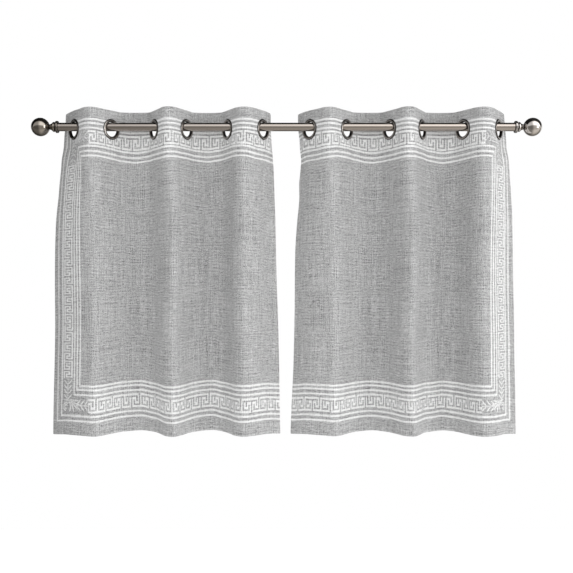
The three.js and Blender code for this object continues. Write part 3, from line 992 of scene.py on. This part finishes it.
def turnedPiece(name, profile, segments, matrix, material, closedRing):
    # profile rows are (radius, height, lightAndPolish) in millimetres about the piece's own axis, which is
    # local Z; a low lightAndPolish paints shade and roughens the metal
    angles = np.arange(segments) * 2 * math.pi / segments
    places, rings, lightAndPolish = [], [], []
    for radius, height, *lightAndPolishRow in profile:
        if radius < 1e-6:
            rings.append([len(places)])
            places.append((0.0, 0.0, height))
        else:
            rings.append(list(range(len(places), len(places) + segments)))
            places.extend((radius * math.cos(a), radius * math.sin(a), height) for a in angles)
        lightAndPolish.extend([lightAndPolishRow[0] if lightAndPolishRow else 1.0] * len(rings[-1]))
    faces = []
    for low, high in zip(rings, rings[1:] + rings[:1] if closedRing else rings[1:]):
        for i in range(segments):
            j = (i + 1) % segments
            if len(low) == 1:
                faces.append((low[0], high[j], high[i]))
            elif len(high) == 1:
                faces.append((low[i], low[j], high[0]))
            else:
                faces.append((low[i], low[j], high[j], high[i]))
    piece = linkMesh(name, places, faces)
    piece.data.attributes.new("lightAndPolish", "FLOAT", "POINT").data.foreach_set("value", lightAndPolish)
    piece.data.transform(matrix @ Matrix.Scale(mm, 4))
    shadeSmooth(piece.data, 42)
    piece.data.materials.append(material)
    return piece


def arc(centreR, centreH, radiusR, radiusH, start, end, steps):
    turns = [math.radians(start + (end - start) * i / steps) for i in range(steps + 1)]
    return [(centreR + radiusR * math.cos(t), centreH + radiusH * math.sin(t)) for t in turns]


eyelet = {
    "bore": 20.4, "barrel": 23.3, "flange": 29.3, "washer": 28.6, "gap": 0.3, "washerHeight": 1.5,
    "belowRod": 7, "bead": 2.8, "crestOut": 0.5, "segments": 72,
}


def eyeletMatrix(side, row):
    turn = math.radians(row["turn"])
    front = Vector((math.sin(turn), -math.cos(turn), 0))
    across = Vector((math.cos(turn), math.sin(turn), 0))
    basis = Matrix((across, front.cross(across), front)).transposed().to_4x4()
    return Matrix.Translation(Vector((panelCentre(side) + row["x"], 0, -eyelet["belowRod"])) * mm) @ basis


def frontProfile():
    seat = cloth["frontSkin"] + eyelet["gap"]
    end = cloth["frontSkin"] - cloth["head"] - eyelet["gap"] - eyelet["washerHeight"]
    crest = (eyelet["bore"] + eyelet["flange"]) / 2 + eyelet["crestOut"]
    outer = arc(crest, seat, eyelet["flange"] - crest, eyelet["bead"], 6, 90, 9)
    inner = arc(crest, seat, crest - eyelet["bore"], eyelet["bead"], 98, 168, 8)
    # painted highlight along the bead's top, painted shade on its flanks, the barrel and the seat
    bead = [(radius, height, float(smoothStep((height - seat) / eyelet["bead"], 0.75, 1)))
            for radius, height in (*outer, *inner)]
    return [(eyelet["bore"], end, 0), (eyelet["barrel"], end, 0), (eyelet["barrel"], seat, 0),
            (eyelet["flange"] - 0.3, seat, 0), *bead, (eyelet["bore"], seat - 0.6, 0)]


def washerProfile():
    seat = cloth["frontSkin"] - cloth["head"] - eyelet["gap"]
    inner, outer, tall = eyelet["barrel"] + eyelet["gap"], eyelet["washer"], eyelet["washerHeight"]
    bead = arc((inner + outer) / 2, seat - 0.4, (outer - inner) / 2 - 0.15, tall - 0.4, -166, -14, 8)
    return [(inner, seat), (inner, seat - 0.5), *bead, (outer, seat - 0.5), (outer, seat)]


def makeEyelets():
    made = {side: [] for side in sides}
    for side in sides:
        for number, row in enumerate(eyeletRows, 1):
            label = f"{side}_{number}"
            matrix = eyeletMatrix(side, row)
            parts = ((f"ring_{label}", frontProfile(), f"eyelet_{label}"),
                     (f"back_ring_{label}", washerProfile(), f"washer_{label}"))
            for name, profile, node in parts:
                piece = turnedPiece(name, profile, eyelet["segments"], matrix, metals["ring"], True)
                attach(piece, "root")
                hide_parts(node)
                made[side].append(piece)
    return made


rod = {"radius": 12, "half": 654, "gap": 0.3, "segments": 72, "edge": 0.8}
finial = {
    "neck": 7, "ball": 26, "ballCentre": 44, "seat": 11.2,
    "collar": 17, "collarLength": 7, "collarRound": 1.5, "collarLightAndPolish": 0.6,
    "neckRows": [
        # radius, height, lightAndPolish: low values take painted shade, high ones stay lit
        (11.2, 1.9, 0), (12.6, 2.6, 0.4), (13.9, 4.0, 1), (14.2, 5.6, 1), (13.9, 7.2, 1), (12.8, 8.6, 0.8),
        (11.2, 9.9, 0.5), (9.7, 11.8, 0.7), (8.5, 14.2, 0.7), (7.6, 16.6, 0.3),
    ],
}


def finialProfile():
    start = math.degrees(math.asin(finial["neck"] / finial["ball"])) - 90
    neck = [(0, rod["gap"], 0), (finial["seat"], rod["gap"], 0), *finial["neckRows"]]
    # painted shade on the ball's lowest rows by the neck
    ball = [(radius, height, min(1, i / 4)) for i, (radius, height) in
            enumerate(arc(0, finial["ballCentre"], finial["ball"], finial["ball"], start, 90, 40))]
    return [*neck, *ball[:-1], (0, finial["ballCentre"] + finial["ball"])]


def collarProfile():
    inner, outer, length = rod["radius"] + rod["gap"], finial["collar"], finial["collarLength"]
    bend = finial["collarRound"]
    low = arc(outer - bend, -length + bend, bend, bend, -90, 0, 5)
    high = arc(outer - bend, -bend, bend, bend, 0, 90, 5)
    # painted highlight on the collar's rounded outer edge, painted shade on its faces
    edge = [(radius, height, max(0, (radius - outer + bend) / bend) * finial["collarLightAndPolish"])
            for radius, height in (*low, *high)]
    return [(inner, -length, 0), *edge, (inner, 0, 0)]


def makeRod():
    along, turned = (Matrix.Rotation(math.radians(turn), 4, "Y") for turn in (90, -90))
    edge, half = rod["edge"], rod["half"]
    profile = [(0, -half), (rod["radius"] - edge, -half), (rod["radius"], -half + edge),
               *((rod["radius"], -half + edge + (2 * half - 2 * edge) * i / 40) for i in range(1, 40)),
               (rod["radius"], half - edge), (rod["radius"] - edge, half), (0, half)]
    made = [(turnedPiece("rod_bar", profile, rod["segments"], along, metals["rod"], False), "rod")]
    for side, end, facing in (("left", -half, turned), ("right", half, along)):
        matrix = Matrix.Translation((end * mm, 0, 0)) @ facing
        ends = ((f"ball_end_{side}", finialProfile(), False, f"finial_{side}"),
                (f"end_collar_{side}", collarProfile(), True, f"collar_{side}"))
        for name, profile, closed, node in ends:
            made.append((turnedPiece(name, profile, rod["segments"], matrix, metals["ball"], closed), node))
    for piece, node in made:
        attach(piece, "root")
        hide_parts(node)


rings = makeEyelets()
makeRod()
print("eyelets, rod and ball ends made")


# stitches

stitches = {
    "pitch": 3.4, "length": 2.6, "thread": 0.55, "sink": 0.1, "colour": (0.33, 0.335, 0.345),
    "hemUp": 46, "sideIn": 20, "headDown": 90, "inset": 1.5, "pathStep": 6.0,
}


def makeStitchTree():
    floats = {label: "Float" for label in ("Pitch", "Length", "Thread")}
    tree, wires, given = newGroup("stitchRow", {"Geometry": "Geometry", **floats, "Finish": "Material"},
                                  {"Geometry": "Geometry"}, "GeometryNodeTree")
    rows = wires.made("GeometryNodeResampleCurve", {"Curve": given["Geometry"], "Length": given["Pitch"]},
                      mode="LENGTH")
    bead = wires.made("GeometryNodeMeshUVSphere", {"Segments": 6, "Rings": 4, "Radius": 0.5}, "Mesh")
    tangent = wires.made("GeometryNodeInputTangent")
    lie = wires.made("FunctionNodeAlignRotationToVector", {"Vector": tangent}, axis="Z")
    size = wires.made("ShaderNodeCombineXYZ", (given["Thread"], given["Thread"], given["Length"]))
    laid = wires.made("GeometryNodeInstanceOnPoints",
                      {"Points": rows, "Instance": bead, "Rotation": lie, "Scale": size})
    real = wires.made("GeometryNodeRealizeInstances", [laid])
    sewn = wires.made("GeometryNodeSetMaterial", {"Geometry": real, "Material": given["Finish"]})
    wires.node("NodeGroupOutput", {"Geometry": sewn})
    return tree


def makeThread():
    material, wires, shader = newMaterial("greyThread", {"Roughness": 0.75})
    place = wires.made("ShaderNodeTexCoord", output="Object")
    twist = wires.noise(wires.stretch(place, (900, 900, 900)), 2.0)
    dark = tuple(0.75 * c for c in stitches["colour"])
    wires.fill(shader, {"Base Color": wires.blend(twist, (*dark, 1), (*stitches["colour"], 1))})
    return material


def stitchLines(side):
    width, drop, step, inset = cloth["width"], cloth["drop"], stitches["pathStep"], stitches["inset"]
    hem, sideIn, head = drop - stitches["hemUp"], stitches["sideIn"], stitches["headDown"]
    level = np.arange(sideIn, width - sideIn + 1, step)
    upright = np.arange(inset, drop - inset, step)
    full = np.linspace(inset, width - inset, int(width / step))
    both = [(full, np.full_like(full, hem)), (np.full_like(upright, sideIn), upright),
            (np.full_like(upright, width - sideIn), upright)]
    lines = [(u, v, proud) for u, v in both for proud in (1, -1)]
    return lines + [(level, np.full_like(level, head), -1)]


def makeStitches(side, tree, thread):
    path = bpy.data.curves.new(f"stitchPath_{side}", "CURVE")
    path.dimensions = "3D"
    for u, v, proud in stitchLines(side):
        places = onCloth(side, u, v, proud * stitches["sink"])
        spline = path.splines.new("POLY")
        spline.points.add(len(places) - 1)
        for point, place in zip(spline.points, places):
            point.co = (*place, 1)
    carrier = placed(f"stitchPath_{side}", path)
    sewing = carrier.modifiers.new("sewing", "NODES")
    sewing.node_group = tree
    values = {name.capitalize(): stitches[name] * mm for name in ("pitch", "length", "thread")}
    values["Finish"] = thread
    for socket in tree.interface.items_tree:
        if socket.in_out == "INPUT" and socket.name in values:
            sewing[socket.identifier] = values[socket.name]
    bpy.context.view_layer.update()
    graph = bpy.context.evaluated_depsgraph_get()
    mesh = bpy.data.meshes.new_from_object(carrier.evaluated_get(graph))
    bpy.data.objects.remove(carrier)
    shadeSmooth(mesh)
    piece = placed(f"hem_stitches_{side}", mesh)
    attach(piece, "root")
    return piece


stitchTree = makeStitchTree()
thread = makeThread()
sewn = {side: makeStitches(side, stitchTree, thread) for side in sides}
print("stitches sewn:", [len(piece.data.polygons) for piece in sewn.values()], "faces")

for side in sides:
    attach(panels[side], "root")
    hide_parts(f"panel_{side}")

print("done")
